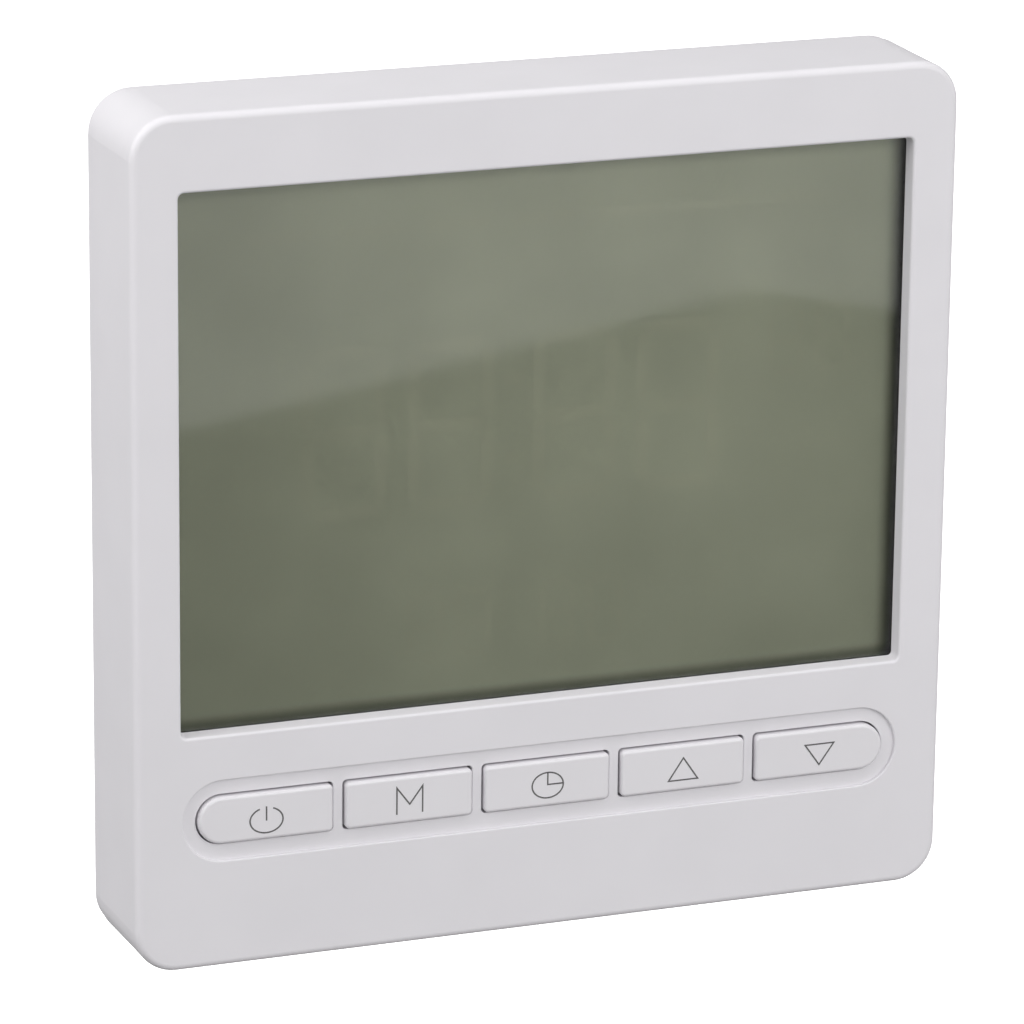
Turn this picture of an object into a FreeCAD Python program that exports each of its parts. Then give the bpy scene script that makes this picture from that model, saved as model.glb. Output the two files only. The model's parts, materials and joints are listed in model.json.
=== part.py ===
import FreeCAD, Part
import math
import os
import re
import Sketcher

# A wall-mounted programmable heating timer with a display and five keys.
# Frame: the origin is the middle of the wall plane, between the two screw slots of the mounting plate.
# +X is right as one faces the timer, +Y goes into the wall, +Z is up. Lengths are in millimetres.

doc = FreeCAD.newDocument("programmable_timer")
sheet = doc.addObject("Spreadsheet::Sheet", "sizes")
rows = []
subparts = []

TINY = 0.001


# ---------------------------------------------------------------- the sheet and how parts are bound to it

def define(**cells):
    """Add driving dimensions to the sheet, one aliased cell each."""
    for alias, value in cells.items():
        rows.append(alias)
        sheet.set(f"A{len(rows)}", alias)
        sheet.set(f"B{len(rows)}", str(value))
        sheet.setAlias(f"B{len(rows)}", alias)
    sheet.recompute()


def bound(expression):
    """Write the plain words of an expression as cells of the sheet."""
    return re.sub(r"[a-z_]{2,}\b(?!\()", lambda word: "sizes." + word.group(), expression)


def number(expression):
    return float(sheet.evalExpression(bound(expression)))


def bind(thing, **settings):
    """Bind properties to expressions; a double underscore in a name stands for a dot."""
    for name, expression in settings.items():
        thing.setExpression(name.replace("__", "."), bound(expression))


def cell(label, **values):
    """Give each number a cell named after the part, and return the expressions in the same order."""
    names = []
    for word, value in values.items():
        if isinstance(value, str):
            names.append(value)
        else:
            define(**{f"{label}_{word}": value})
            names.append(f"{label}_{word}")
    return names


def place(thing, x, y, z):
    bind(thing, Placement__Base__x=x, Placement__Base__y=y, Placement__Base__z=z)


# ---------------------------------------------------------------- bodies made from sketches

def new_body(label, x="0", y="0", z="0"):
    body = doc.addObject("PartDesign::Body", label)
    body.Label = label
    place(body, x, y, z)
    subparts.append(body)
    return body


def sketch_at(body, x, y, z, plane="XZ_Plane"):
    """A sketch on one of the body's planes, with its own origin moved to (x, y, z)."""
    made = body.newObject("Sketcher::SketchObject", "profile")
    made.AttachmentSupport = [(next(p for p in body.Origin.OriginFeatures if p.Role == plane), "")]
    made.MapMode = "FlatFace"
    along = {"XZ_Plane": (x, z, f"-({y})"), "XY_Plane": (x, y, z), "YZ_Plane": (y, z, x)}[plane]
    for axis, expression in zip("xyz", along):
        made.setExpression(f"AttachmentOffset.Base.{axis}", bound(expression))
    return made


def dimension(made, expression, kind, *where):
    """Add one driving constraint, bound to the sheet."""
    index = made.addConstraint(Sketcher.Constraint(kind, *where, number(expression)))
    made.setExpression(f"Constraints[{index}]", bound(expression))


def circle(made, radius):
    made.addGeometry(Part.Circle(FreeCAD.Vector(), FreeCAD.Vector(0, 0, 1), number(radius)))
    made.addConstraint(Sketcher.Constraint("Coincident", 0, 3, -1, 1))
    dimension(made, radius, "Radius", 0)


def rectangle(made, width, height, left="0", right=None):
    """A centred rectangle. left and right are the corner radii of its two ends, or "round"."""
    right = left if right is None else right
    w, h = number(width) / 2, number(height) / 2
    radius = {end: h if r == "round" else number(r) for end, r in (("left", left), ("right", right))}

    def arc(cx, cy, r, turn, sweep):
        base = Part.Circle(FreeCAD.Vector(cx, cy, 0), FreeCAD.Vector(0, 0, 1), r)
        return Part.ArcOfCircle(base, turn * math.pi / 2, (turn + sweep) * math.pi / 2)

    def line(x_from, y_from, x_to, y_to):
        return Part.LineSegment(FreeCAD.Vector(x_from, y_from, 0), FreeCAD.Vector(x_to, y_to, 0))

    def end_pieces(side, r, turn):
        """The pieces of one end, counter-clockwise; side is 1 on the right and -1 on the left."""
        if r == h:
            return [arc(side * (w - r), 0, r, turn, 2)]
        upright = line(side * w, -side * (h - r), side * w, side * (h - r))
        if r == 0:
            return [upright]
        return [arc(side * (w - r), -side * (h - r), r, turn, 1), upright,
                arc(side * (w - r), side * (h - r), r, turn + 1, 1)]

    right_end = end_pieces(1, radius["right"], -1)
    left_end = end_pieces(-1, radius["left"], 1)
    bottom = line(radius["left"] - w, -h, w - radius["right"], -h)
    top = line(w - radius["right"], h, radius["left"] - w, h)
    pieces = [bottom, *right_end, top, *left_end]
    made.addGeometry(pieces)
    top_at = 1 + len(right_end)
    for at, piece in enumerate(pieces):
        after = (at + 1) % len(pieces)
        smooth = isinstance(piece, Part.ArcOfCircle) or isinstance(pieces[after], Part.ArcOfCircle)
        made.addConstraint(Sketcher.Constraint("Tangent" if smooth else "Coincident", at, 2, after, 1))
    made.addConstraint(Sketcher.Constraint("Horizontal", 0))
    made.addConstraint(Sketcher.Constraint("Horizontal", top_at))
    dimension(made, f"({height})/2", "DistanceY", 0, 1, -1, 1)
    dimension(made, f"({height})/2", "DistanceY", -1, 1, top_at, 1)
    for first, count, r, side in ((1, len(right_end), right, 1), (top_at + 1, len(left_end), left, -1)):
        upright = first if count < 3 else first + 1
        reach = f"({width})/2"
        if r == "round":
            point, reach = (first, 3), f"({width})/2 - ({height})/2"
        else:
            made.addConstraint(Sketcher.Constraint("Vertical", upright))
            point = (upright, 1)
        dimension(made, reach, "DistanceX", *((-1, 1, *point) if side == 1 else (*point, -1, 1)))
        if count == 3:
            dimension(made, r, "Radius", first)
            made.addConstraint(Sketcher.Constraint("Equal", first, first + 2))


def extrude(body, kind, made, depth, taper=None):
    """Pad or pocket. From a forward-facing sketch both run rearwards, towards +Y."""
    feature = body.newObject("PartDesign::" + kind, kind.lower())
    feature.Profile = made
    feature.Reversed = kind == "Pad"
    bind(feature, Length=depth)
    if taper:
        bind(feature, TaperAngle=taper)
    made.Visibility = False
    return feature


def pad(body, width, height, radius, y, depth, x="0", z="0", taper=None):
    made = sketch_at(body, x, y, z)
    rectangle(made, width, height, radius)
    return extrude(body, "Pad", made, depth, taper)


def pocket(body, width, height, radius, y, depth, x="0", z="0", taper=None):
    made = sketch_at(body, x, y, z)
    rectangle(made, width, height, radius)
    return extrude(body, "Pocket", made, depth, taper)


def round_pad(body, radius, y, depth, x, z):
    made = sketch_at(body, x, y, z)
    circle(made, radius)
    extrude(body, "Pad", made, depth)


def round_pocket(body, radius, y, depth, x, z):
    made = sketch_at(body, x, y, z)
    circle(made, radius)
    extrude(body, "Pocket", made, depth)


def fillet(body, radius, chosen):
    """Round the edges of the body so far for which chosen(bounding box) is true."""
    for piece in body.Group:
        if "Touched" in piece.State:
            piece.recompute()
    base = body.Tip
    names = [f"Edge{i}" for i, edge in enumerate(base.Shape.Edges, 1) if chosen(edge.BoundBox)]
    feature = body.newObject("PartDesign::Fillet", "fillet")
    feature.Base = (base, names)
    bind(feature, Radius=radius)


def in_plane(box, y):
    """True for an edge that lies wholly in the body's plane at this depth."""
    return abs(box.YMin - y) < TINY and abs(box.YMax - y) < TINY


def slab(label, width, height, radius, front, thickness, x="0", z="0"):
    """A flat piece: one rounded rectangle padded rearwards from its front face."""
    width, height, radius, thickness, x, z = cell(label, width=width, height=height, corner=radius,
                                                  thickness=thickness, across=x, rise=z)
    body = new_body(label, x, front, z)
    pad(body, width, height, radius, "0", thickness)
    return body


# ---------------------------------------------------------------- solids made from primitives

def brick(name, length, depth, height, x, y, z):
    """A box centred on (x, z) that runs rearwards from y."""
    made = doc.addObject("Part::Box", name)
    bind(made, Length=length, Width=depth, Height=height)
    place(made, f"{x} - ({length})/2", y, f"{z} - ({height})/2")
    return made


def rod(name, radius, length, x, y, z, turned=(FreeCAD.Vector(1, 0, 0), -90)):
    """A cylinder that runs rearwards from y, unless it is turned another way."""
    made = doc.addObject("Part::Cylinder", name)
    made.Placement = FreeCAD.Placement(FreeCAD.Vector(), FreeCAD.Rotation(*turned))
    bind(made, Radius=radius, Height=length)
    place(made, x, y, z)
    return made


def fuse(name, *pieces):
    made = doc.addObject("Part::MultiFuse", name)
    made.Shapes = list(pieces)
    return made


def cut(name, base, *tools):
    made = doc.addObject("Part::Cut", name)
    made.Base = base
    made.Tool = tools[0] if len(tools) == 1 else fuse(name + "_tools", *tools)
    return made


def group(name, pieces):
    made = doc.addObject("Part::Compound", name)
    made.Links = list(pieces)
    return made


def finished(label, thing):
    """Take a primitive-made object as the sub-part with this name."""
    thing.Label = label
    subparts.append(thing)
    return thing


def component(label, length, depth, height, x, y, z, edge=0.3):
    """A moulded electronic part: a box with softened edges, standing on a board."""
    length, depth, height, x, z, edge = cell(label, length=length, depth=depth, height=height,
                                             across=x, rise=z, edge=edge)
    block = brick(label + "_block", length, depth, height, x, y, z)
    return finished(label, softened(label, block, range(1, 13), edge))


def softened(name, base, edges, radius):
    """Round the numbered edges of a primitive."""
    base.recompute()
    made = doc.addObject("Part::Fillet", name)
    made.Base = base
    made.Edges = [(i, number(radius), number(radius)) for i in edges]
    return made


def screw(name, kind, x, y, z, towards_rear):
    """A screw with its head's seat at y, sized by the cells of its kind. The slot crosses the head."""
    head, head_height = f"{kind}_head_radius", f"{kind}_head_height"
    shank, length = f"{kind}_shank_radius", f"{kind}_shank_length"
    head_start, shank_start, slot_start = ((f"{y} - {head_height}", y, f"{y} - {head_height}") if towards_rear
                                           else (y, f"{y} - {length}", f"{y} + {head_height}/2"))
    whole = fuse(name + "_solid", rod(name + "_head", head, head_height, x, head_start, z),
                 rod(name + "_shank", shank, length, x, shank_start, z))
    slot = brick(name + "_slot", f"3*{head}", f"{head_height}/2", f"{kind}_slot", x, slot_start, z)
    return cut(name, whole, slot)


# ---------------------------------------------------------------- driving dimensions

define(
    face_size=86, body_depth=13.3, corner_radius=4.4, rim_depth=1.5, seam=0.15, rim_inset=0.1,
    cover_draft=0.15, edge_radius=0.7, side_wall=2.0, front_wall=2.2, inner_radius=2.4,
    window_width=76.3, window_height=54.25, window_rise=8.175, window_radius=0.65, window_taper=7.5,
    window_edge=0.3, display_depth=1.5, display_width=80.0, display_height=58.4, display_rise=7.7,
    display_corner=1.0,
    recess_width=76.0, recess_height=8.3, recess_depth=0.4, recess_drop=27.75, recess_edge=0.16,
    key_opening=13.6, end_key_opening=14.2, key_opening_height=5.15, key_bar=1.0, key_drop=27.68,
    key_gap=0.17, key_rise=0.6, key_edge=0.34, key_corner=0.45, key_flange=0.8, key_flange_reach=1.0,
    key_play=0.15, key_stem=3.0, key_travel=0.3, opening_edge=0.1,
    board_depth=7.3, board_thickness=1.2, post_radius=2.0, pilot_radius=0.75, pilot_floor=1.0,
    post_across=30.0, post_rise=38.9, foot_post_across=36.0, foot_post_drop=36.4,
    vent_length=7.0, vent_width=1.2, vent_pitch=8.5, vent_depth=5.5,
    notch_width=8.0, notch_height=0.9,
    flange_gap=0.3, flange_depth=1.7, frame_opening=72.0, frame_corner=2.0, ledge_depth=1.2, plate_gap=0.15,
    slot_spacing=60.0, slot_width=4.4, slot_length=8.4, plate_size=76.0, plate_corner=3.0,
    stake_radius=0.8, stake_room=0.1, stake_across=37.0, stake_rise=29.0,
    socket_width=15.6, socket_height=5.4, socket_rise=20.0, socket_room=0.7, hole_corner=0.5,
    sheet_thickness=0.25, box_screw_hole=1.1, box_screw_head_radius=2.1, box_screw_head_height=1.0,
    box_screw_shank_radius=0.72, box_screw_shank_length=7.0, box_screw_slot=0.5,
    power_board_depth=6.4, power_board_thickness=1.6,
    box_width=50.0, box_height=52.0, box_depth=28.0, box_wall=1.6, box_corner=2.0, step_depth=9.6,
    step_height=13.4, bay_drop=19.8, lug_width=5.0, lug_rise=2.0,
    box_post_across=20.9, box_post_rise=22.4, box_post_radius=2.4,
)

COVER_DEPTH = "(body_depth - rim_depth - seam)"
FACE = "-body_depth"
BOARD_FRONT = "(board_depth - body_depth)"
BOARD_REAR = "(board_depth + board_thickness - body_depth)"
KEY_FRONT = "(recess_depth - key_rise - body_depth)"
POWER_BOARD_REAR = "(power_board_depth + power_board_thickness)"
LUG_ACROSS = "(box_width/2 - box_wall/2 - lug_width/2)"
TERMINAL_WAYS = 5

# Centre and opening width of each key, left to right, with the corner radii of its two ends.
KEYS = {
    "power": ("-(1.5*key_opening + 2*key_bar + end_key_opening/2)", "end_key_opening", "round", "key_corner"),
    "mode": ("-(key_opening + key_bar)", "key_opening", "key_corner", "key_corner"),
    "clock": ("0", "key_opening", "key_corner", "key_corner"),
    "up": ("key_opening + key_bar", "key_opening", "key_corner", "key_corner"),
    "down": ("1.5*key_opening + 2*key_bar + end_key_opening/2", "end_key_opening", "key_corner", "round"),
}
MAIN_POSTS = [("-post_across", "post_rise"), ("post_across", "post_rise"),
              ("-foot_post_across", "-foot_post_drop"), ("foot_post_across", "-foot_post_drop")]
BOX_POSTS = [(f"{i}box_post_across", f"{k}box_post_rise") for i in ("-", "") for k in ("-", "")]


# ---------------------------------------------------------------- front cover

def front_cover():
    body = new_body("front_cover", "0", FACE, "0")
    front_size = "(face_size - 2*cover_draft)"
    draft = f"atan(cover_draft / {COVER_DEPTH})"
    pad(body, front_size, front_size, "corner_radius - cover_draft", "0", COVER_DEPTH, taper=draft)
    fillet(body, "edge_radius", lambda box: in_plane(box, 0))
    side_frame = number("(window_width + face_size)/4")
    rail = number("(window_rise - window_height/2 + recess_height/2 - recess_drop)/2")
    hollow = "(face_size - 2*side_wall)"
    pocket(body, hollow, hollow, "inner_radius", "front_wall", f"{COVER_DEPTH} - front_wall")
    pocket(body, "display_width", "display_height", "display_corner", "display_depth",
           "front_wall - display_depth", z="display_rise")
    pocket(body, "window_width", "window_height", "window_radius", "0", "front_wall", z="window_rise",
           taper="-window_taper")
    fillet(body, "window_edge", lambda box: in_plane(box, 0) and abs(box.XMax) < side_frame
           and box.ZMin > rail)
    recess = sketch_at(body, "0", "0", "-recess_drop")
    rectangle(recess, "recess_width", "recess_height", "round")
    extrude(body, "Pocket", recess, "recess_depth")
    fillet(body, "recess_edge", lambda box: in_plane(box, 0) and abs(box.XMax) < side_frame
           and box.ZMax < rail)
    for x, width, left, right in KEYS.values():
        opening = sketch_at(body, x, "recess_depth", "-key_drop")
        rectangle(opening, width, "key_opening_height", left, right)
        extrude(body, "Pocket", opening, "front_wall - recess_depth")
    floor, drop, reach = number("recess_depth"), number("key_drop"), number("key_opening_height/2") + TINY
    fillet(body, "opening_edge", lambda box: in_plane(box, floor) and abs(box.ZMin + drop) < reach
           and abs(box.ZMax + drop) < reach)
    for x, z in MAIN_POSTS:
        round_pad(body, "post_radius", "front_wall", "board_depth - front_wall", x, z)
        round_pocket(body, "pilot_radius", "front_wall + pilot_floor",
                     "board_depth - front_wall - pilot_floor", x, z)
    for at in range(-2, 3):
        vent = sketch_at(body, f"{at}*vent_pitch", "vent_depth", "2*side_wall - face_size/2", "XY_Plane")
        rectangle(vent, "vent_length", "vent_width", "round")
        extrude(body, "Pocket", vent, "3*side_wall")
    notch = sketch_at(body, "0", f"{COVER_DEPTH} - notch_height", "side_wall/2 - face_size/2")
    rectangle(notch, "notch_width", "2*side_wall")
    extrude(body, "Pocket", notch, "notch_height")


# ---------------------------------------------------------------- keys and their switches

def keys():
    define(switch_size=6.0, switch_height=2.2, switch_bore=1.9, switch_floor=0.3, plunger_radius=1.7,
           plunger_rise=0.6, plunger_gap=0.05)
    plunger_front = "(board_depth - switch_height - plunger_rise)"
    switches = []
    for name, (x, width, left, right) in KEYS.items():
        body = new_body(name + "_key", x, KEY_FRONT, "-key_drop")
        shank = "(key_rise - recess_depth + front_wall + key_play)"
        top = sketch_at(body, "0", "0", "0")
        rectangle(top, f"{width} - 2*key_gap", "key_opening_height - 2*key_gap", left, right)
        extrude(body, "Pad", top, shank)
        fillet(body, "key_edge", lambda box: in_plane(box, 0))
        pad(body, f"{width} - 2*key_gap", "key_opening_height - 2*key_gap + 2*key_flange_reach", "key_corner",
            shank, "key_flange")
        stem_start = f"({shank} + key_flange)"
        pad(body, "key_stem", "key_stem", "key_corner", stem_start,
            f"{plunger_front} - plunger_gap - recess_depth + key_rise - {stem_start}")
        block = brick(name + "_switch_block", "switch_size", "switch_height", "switch_size",
                      x, f"{BOARD_FRONT} - switch_height", "-key_drop")
        bore = rod(name + "_switch_bore", "switch_bore", "switch_height - switch_floor",
                   x, f"{BOARD_FRONT} - switch_height", "-key_drop")
        switches.append(cut(name + "_switch", block, bore))
        plunger = rod(name + "_plunger", "plunger_radius",
                      "switch_height + plunger_rise - switch_floor - key_travel - plunger_gap",
                      x, f"{plunger_front} - body_depth", "-key_drop")
        finished(name + "_plunger", plunger)
    finished("switch_bodies", group("switch_bodies", switches))


# ---------------------------------------------------------------- display

def display():
    """The liquid crystal cell and its backlight, front to back, between the cover and the main board."""
    define(film=0.2, glass=1.1, guide_gap=0.1, guide_room=0.2, reflector_lift=0.35)
    glass_front = "(display_depth + film - body_depth)"
    film_rear = "(display_depth + 2*film + 2*glass - body_depth)"
    slab("lcd_front_polariser", 78.0, 56.0, 0.4, "display_depth - body_depth", "film", z=8.2)
    slab("lcd_front_glass", 79.2, 57.8, 0.3, glass_front, "glass", z=7.7)
    slab("lcd_rear_glass", 79.2, 55.7, 0.3, f"{glass_front} + glass", "glass", z=8.75)
    slab("lcd_rear_polariser", 75.7, 54.8, 0.3, f"{glass_front} + 2*glass", "film", x=-0.55, z=8.5)
    holder_depth = f"({BOARD_FRONT} - {film_rear})"
    holder = slab("lcd_holder", 79.4, 58.6, 0.8, film_rear, holder_depth, z=7.5)
    define(guide_width=75.8, guide_height=53.8, guide_rise=8.65, guide_thickness=2.5,
           strip_length=68.0, strip_width=1.6, strip_drop=20.2, strip_room=0.2,
           led_across=37.2, led_width=1.0, led_length=3.0, led_height=2.4, led_pitch=15.0, led_room=0.3)
    pocket(holder, "guide_width + 2*guide_room", "guide_height + 2*guide_room", "hole_corner", "0",
           holder_depth, z="guide_rise - lcd_holder_rise")
    pocket(holder, "strip_length + 2*strip_room", "strip_width + 2*strip_room", "0", "0", holder_depth,
           z="-strip_drop - lcd_holder_rise")
    guide = slab("light_guide", "guide_width", "guide_height", 0.3, f"{film_rear} + guide_gap",
                 "guide_thickness", z="guide_rise")
    leds = []
    for at in range(-1, 2):
        pocket(guide, "2*(led_width + led_room)", "led_length + 2*led_room", "0", "0", "guide_thickness",
               x="-guide_width/2", z=f"{at}*led_pitch")
        leds.append(brick(f"led_{at + 2}", "led_width", "led_height", "led_length",
                          "-led_across", f"{BOARD_FRONT} - led_height", f"guide_rise + {at}*led_pitch"))
    finished("backlight_leds", group("backlight_leds", leds))
    slab("reflector_sheet", 74.0, 53.0, 0.3, f"{BOARD_FRONT} - reflector_lift", "film", x=0.7, z="guide_rise")
    finished("contact_strip", brick("contact_strip", "strip_length", f"{BOARD_FRONT} - {glass_front} - glass",
                                    "strip_width", "0", f"{glass_front} + glass", "-strip_drop"))


# ---------------------------------------------------------------- main board and what it carries

def main_board():
    define(main_screw_head_radius=1.7, main_screw_head_height=1.0, main_screw_shank_radius=0.72,
           main_screw_shank_length=4.6, main_screw_slot=0.4, board_hole=1.1)
    board = slab("main_board", 80.0, 79.6, 1.0, BOARD_FRONT, "board_thickness", z=0.6)
    for x, z in MAIN_POSTS:
        round_pocket(board, "board_hole", "0", "board_thickness", x, f"{z} - main_board_rise")
    screws = [screw(f"main_screw_{at}", "main_screw", x, BOARD_REAR, z, False)
              for at, (x, z) in enumerate(MAIN_POSTS, 1)]
    finished("main_board_screws", group("main_board_screws", screws))
    component("controller_chip", 12.0, 1.4, 12.0, -14.0, BOARD_REAR, 2.0, 0.12)
    component("memory_chip", 5.0, 1.5, 4.0, 6.0, BOARD_REAR, -4.0, 0.12)
    component("clock_crystal", 7.0, 1.3, 1.6, -14.0, BOARD_REAR, -9.0, 0.4)

    define(cell_radius=6.25, cell_height=2.0, cell_lift=0.25, cell_across=24.0, cell_rise=0.0,
           clip_thickness=0.25, clip_width=4.5, clip_reach=7.6)
    cell_front = f"{BOARD_REAR} + cell_lift"
    finished("backup_cell", rod("backup_cell", "cell_radius", "cell_height", "cell_across", cell_front,
                                "cell_rise"))
    clip_rear = f"{cell_front} + cell_height"
    strap = brick("clip_strap", "2*clip_reach", "clip_thickness", "clip_width", "cell_across", clip_rear,
                  "cell_rise")
    legs = [brick(f"clip_leg_{side}", "clip_thickness", "cell_lift + cell_height + clip_thickness",
                  "clip_width", f"cell_across {sign} (clip_reach - clip_thickness/2)", BOARD_REAR,
                  "cell_rise")
            for side, sign in (("left", "-"), ("right", "+"))]
    finished("cell_clip", fuse("cell_clip", strap, *legs))

    define(bead_radius=1.2, bead_front=2.3, bead_drop=38.3, lead_radius=0.25, lead_spread=0.8)
    bead = doc.addObject("Part::Sphere", "bead")
    bind(bead, Radius="bead_radius")
    place(bead, "0", f"{BOARD_FRONT} - bead_front", "-bead_drop")
    leads = [rod(f"bead_lead_{at}", "lead_radius", "bead_front", f"{sign}lead_spread",
                 f"{BOARD_FRONT} - bead_front", "-bead_drop") for at, sign in enumerate(("-", ""), 1)]
    finished("room_sensor", fuse("room_sensor", bead, *leads))

    define(chip_length=1.6, chip_height=0.5, chip_width=0.8, chip_pitch=3.2, chip_row_pitch=1.92,
           chip_across=6.0, chip_drop=13.0)
    chips = [brick(f"chip_{column}_{row}", "chip_length", "chip_height", "chip_width",
                   f"{column}*chip_pitch - chip_across", BOARD_REAR, f"-chip_drop - {row}*chip_row_pitch")
             for column in range(6) for row in range(3)]
    finished("chip_parts", group("chip_parts", chips))


def connector():
    """The pin header of the face unit and the socket on the power board that it plugs into."""
    define(pin_pitch=2.54, pin_size=0.64, pin_length=6.0, pin_room=0.14, header_base=2.5, header_gap=0.1,
           header_play=0.2, pin_end_room=0.5)
    places = [(f"{column}*pin_pitch/2", f"socket_rise + {row}*pin_pitch/2")
              for column in range(-5, 6, 2) for row in (-1, 1)]
    base = brick("header_block", "socket_width - header_play", "header_base",
                 "socket_height - header_play", "0", BOARD_REAR, "socket_rise")
    pins = [brick(f"header_pin_{at}", "pin_size", "header_base + pin_length", "pin_size", x, BOARD_REAR, z)
            for at, (x, z) in enumerate(places, 1)]
    finished("board_header", fuse("board_header", base, *pins))
    socket_front = f"({BOARD_REAR} + header_base + header_gap)"
    block = brick("socket_block", "socket_width", f"power_board_depth - {socket_front}", "socket_height", "0",
                  socket_front, "socket_rise")
    holes = [brick(f"socket_hole_{at}", "pin_size + 2*pin_room", "pin_length + pin_end_room",
                   "pin_size + 2*pin_room", x, socket_front, z) for at, (x, z) in enumerate(places, 1)]
    finished("header_socket", cut("header_socket", block, *holes))


# ---------------------------------------------------------------- rear frame, mounting plate, insulation

def rear_frame():
    body = new_body("rear_frame")
    rim = "(face_size - 2*rim_inset)"
    flange = "(face_size - 2*side_wall - 2*flange_gap)"
    pad(body, rim, rim, "corner_radius - rim_inset", "-rim_depth", "rim_depth")
    pad(body, flange, flange, "inner_radius", "-rim_depth - flange_depth", "flange_depth")
    pocket(body, "frame_opening", "frame_opening", "frame_corner", "-rim_depth - flange_depth",
           "rim_depth + flange_depth - ledge_depth")
    pocket(body, "plate_size + 2*plate_gap", "plate_size + 2*plate_gap", "plate_corner", "-ledge_depth",
           "ledge_depth")
    for across in ("-stake_across", "stake_across"):
        for rise in ("-stake_rise", "stake_rise"):
            round_pad(body, "stake_radius", "-ledge_depth", "ledge_depth", across, rise)


def mounting_plate():
    body = slab("mounting_plate", "plate_size", "plate_size", "plate_corner", "-ledge_depth", "ledge_depth")
    for sign in ("-", ""):
        pocket(body, "slot_length", "slot_width", "round", "0", "ledge_depth", x=f"{sign}slot_spacing/2")
        for rise in ("-stake_rise", "stake_rise"):
            round_pocket(body, "stake_radius + stake_room", "0", "ledge_depth", f"{sign}stake_across", rise)
    pocket(body, "socket_width + 2*socket_room", "socket_height + 2*socket_room", "hole_corner", "0",
           "ledge_depth", z="socket_rise")
    for x, z in BOX_POSTS:
        round_pocket(body, "box_screw_hole", "0", "ledge_depth", x, z)


def insulation_sheet():
    define(sheet_slot_room=1.5, sheet_slot_rise=2.5, sheet_hole_room=0.4)
    body = slab("insulation_sheet", 70.0, 70.0, 2.0, "-ledge_depth - sheet_thickness", "sheet_thickness")
    for sign in ("-", ""):
        pocket(body, "slot_length + 2*sheet_slot_room", "slot_width + 2*sheet_slot_rise", "hole_corner", "0",
               "sheet_thickness", x=f"{sign}slot_spacing/2")
    pocket(body, "socket_width + 2*socket_room", "socket_height + 2*socket_room", "hole_corner", "0",
           "sheet_thickness", z="socket_rise")
    for x, z in BOX_POSTS:
        round_pocket(body, "box_screw_head_radius + sheet_hole_room", "0", "sheet_thickness", x, z)


# ---------------------------------------------------------------- rear housing

def rear_housing():
    body = new_body("rear_housing")
    inner_width = "(box_width - 2*box_wall)"
    main_height, main_rise = "(box_height - step_height)", "(step_height/2)"
    pad(body, "box_width", "box_height", "box_corner", "0", "step_depth")
    pad(body, "box_width", main_height, "box_corner", "step_depth", "box_depth - step_depth", z=main_rise)
    fillet(body, "box_corner/2", lambda box: in_plane(box, number("box_depth")))
    define(box_inner_corner=1.0, label_width=34.0, label_height=22.0, label_corner=1.0, label_recess=0.3,
           bay_width=40.6, bay_height=11.2, lug_height=6.0, lug_depth=8.0,
           shelf_width=5.6, shelf_height=3.2, shelf_depth=6.0, shelf_across=0.4,
           box_vent_length=11.0, box_vent_width=1.5, box_vent_corner=0.6, box_vent_pitch=3.4,
           box_vent_depth=18.5, side_vent_rise=7.0)
    pocket(body, inner_width, "box_height - 2*box_wall", "box_inner_corner", "0", "step_depth - box_wall")
    pocket(body, inner_width, f"{main_height} - 2*box_wall", "box_inner_corner", "step_depth - box_wall",
           "box_depth - step_depth", z=main_rise)
    pocket(body, "bay_width", "bay_height", "hole_corner", "step_depth - box_wall", "box_wall", z="-bay_drop")
    pocket(body, "label_width", "label_height", "label_corner", "box_depth - label_recess", "label_recess",
           z=main_rise)
    for x, z in BOX_POSTS:
        round_pad(body, "box_post_radius", "0", f"{POWER_BOARD_REAR}", x, z)
        round_pocket(body, "pilot_radius", "0", "power_board_depth", x, z)
    for sign in ("-", ""):
        pad(body, "lug_width", "lug_height", "0", POWER_BOARD_REAR, "lug_depth", x=f"{sign}{LUG_ACROSS}",
            z="lug_rise")
        round_pocket(body, "pilot_radius", POWER_BOARD_REAR, "lug_depth - pilot_floor",
                     f"{sign}{LUG_ACROSS}", "lug_rise")
    pad(body, "shelf_width", "shelf_height + box_wall/2", "0", POWER_BOARD_REAR, "shelf_depth",
        x="shelf_across", z="box_height/2 - box_wall/2 - (shelf_height + box_wall/2)/2")
    for at in range(-5, 6):
        vent = sketch_at(body, f"{at}*box_vent_pitch", "box_vent_depth", "box_height/2", "XY_Plane")
        rectangle(vent, "box_vent_width", "box_vent_length", "box_vent_corner")
        extrude(body, "Pocket", vent, "box_wall")
    for at in range(4):
        vent = sketch_at(body, "box_width/2", "box_vent_depth", f"side_vent_rise + {at}*box_vent_pitch",
                         "YZ_Plane")
        rectangle(vent, "box_vent_length", "box_vent_width", "box_vent_corner")
        extrude(body, "Pocket", vent, "box_width")


# ---------------------------------------------------------------- power board and what it carries

def power_board():
    define(notch_size=5.6, power_screw_head_radius=1.7, power_screw_head_height=0.9,
           power_screw_shank_radius=0.72, power_screw_shank_length=5.5, power_screw_slot=0.4)
    board = slab("power_board", 46.2, 48.2, 0.5, "power_board_depth", "power_board_thickness")
    for x, z in BOX_POSTS:
        pocket(board, "notch_size", "notch_size", "0", "0", "power_board_thickness", x, z)
    places = [(f"-{LUG_ACROSS}", "lug_rise"), (LUG_ACROSS, "lug_rise")]
    for x, z in places:
        round_pocket(board, "board_hole", "0", "power_board_thickness", x, z)
    screws = [screw(f"power_screw_{at}", "power_screw", x, "power_board_depth", z, True)
              for at, (x, z) in enumerate(places, 1)]
    finished("power_board_screws", group("power_board_screws", screws))
    box_screws = [screw(f"box_screw_{at}", "box_screw", x, "-ledge_depth", z, True)
                  for at, (x, z) in enumerate(BOX_POSTS, 1)]
    finished("housing_screws", group("housing_screws", box_screws))


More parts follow.
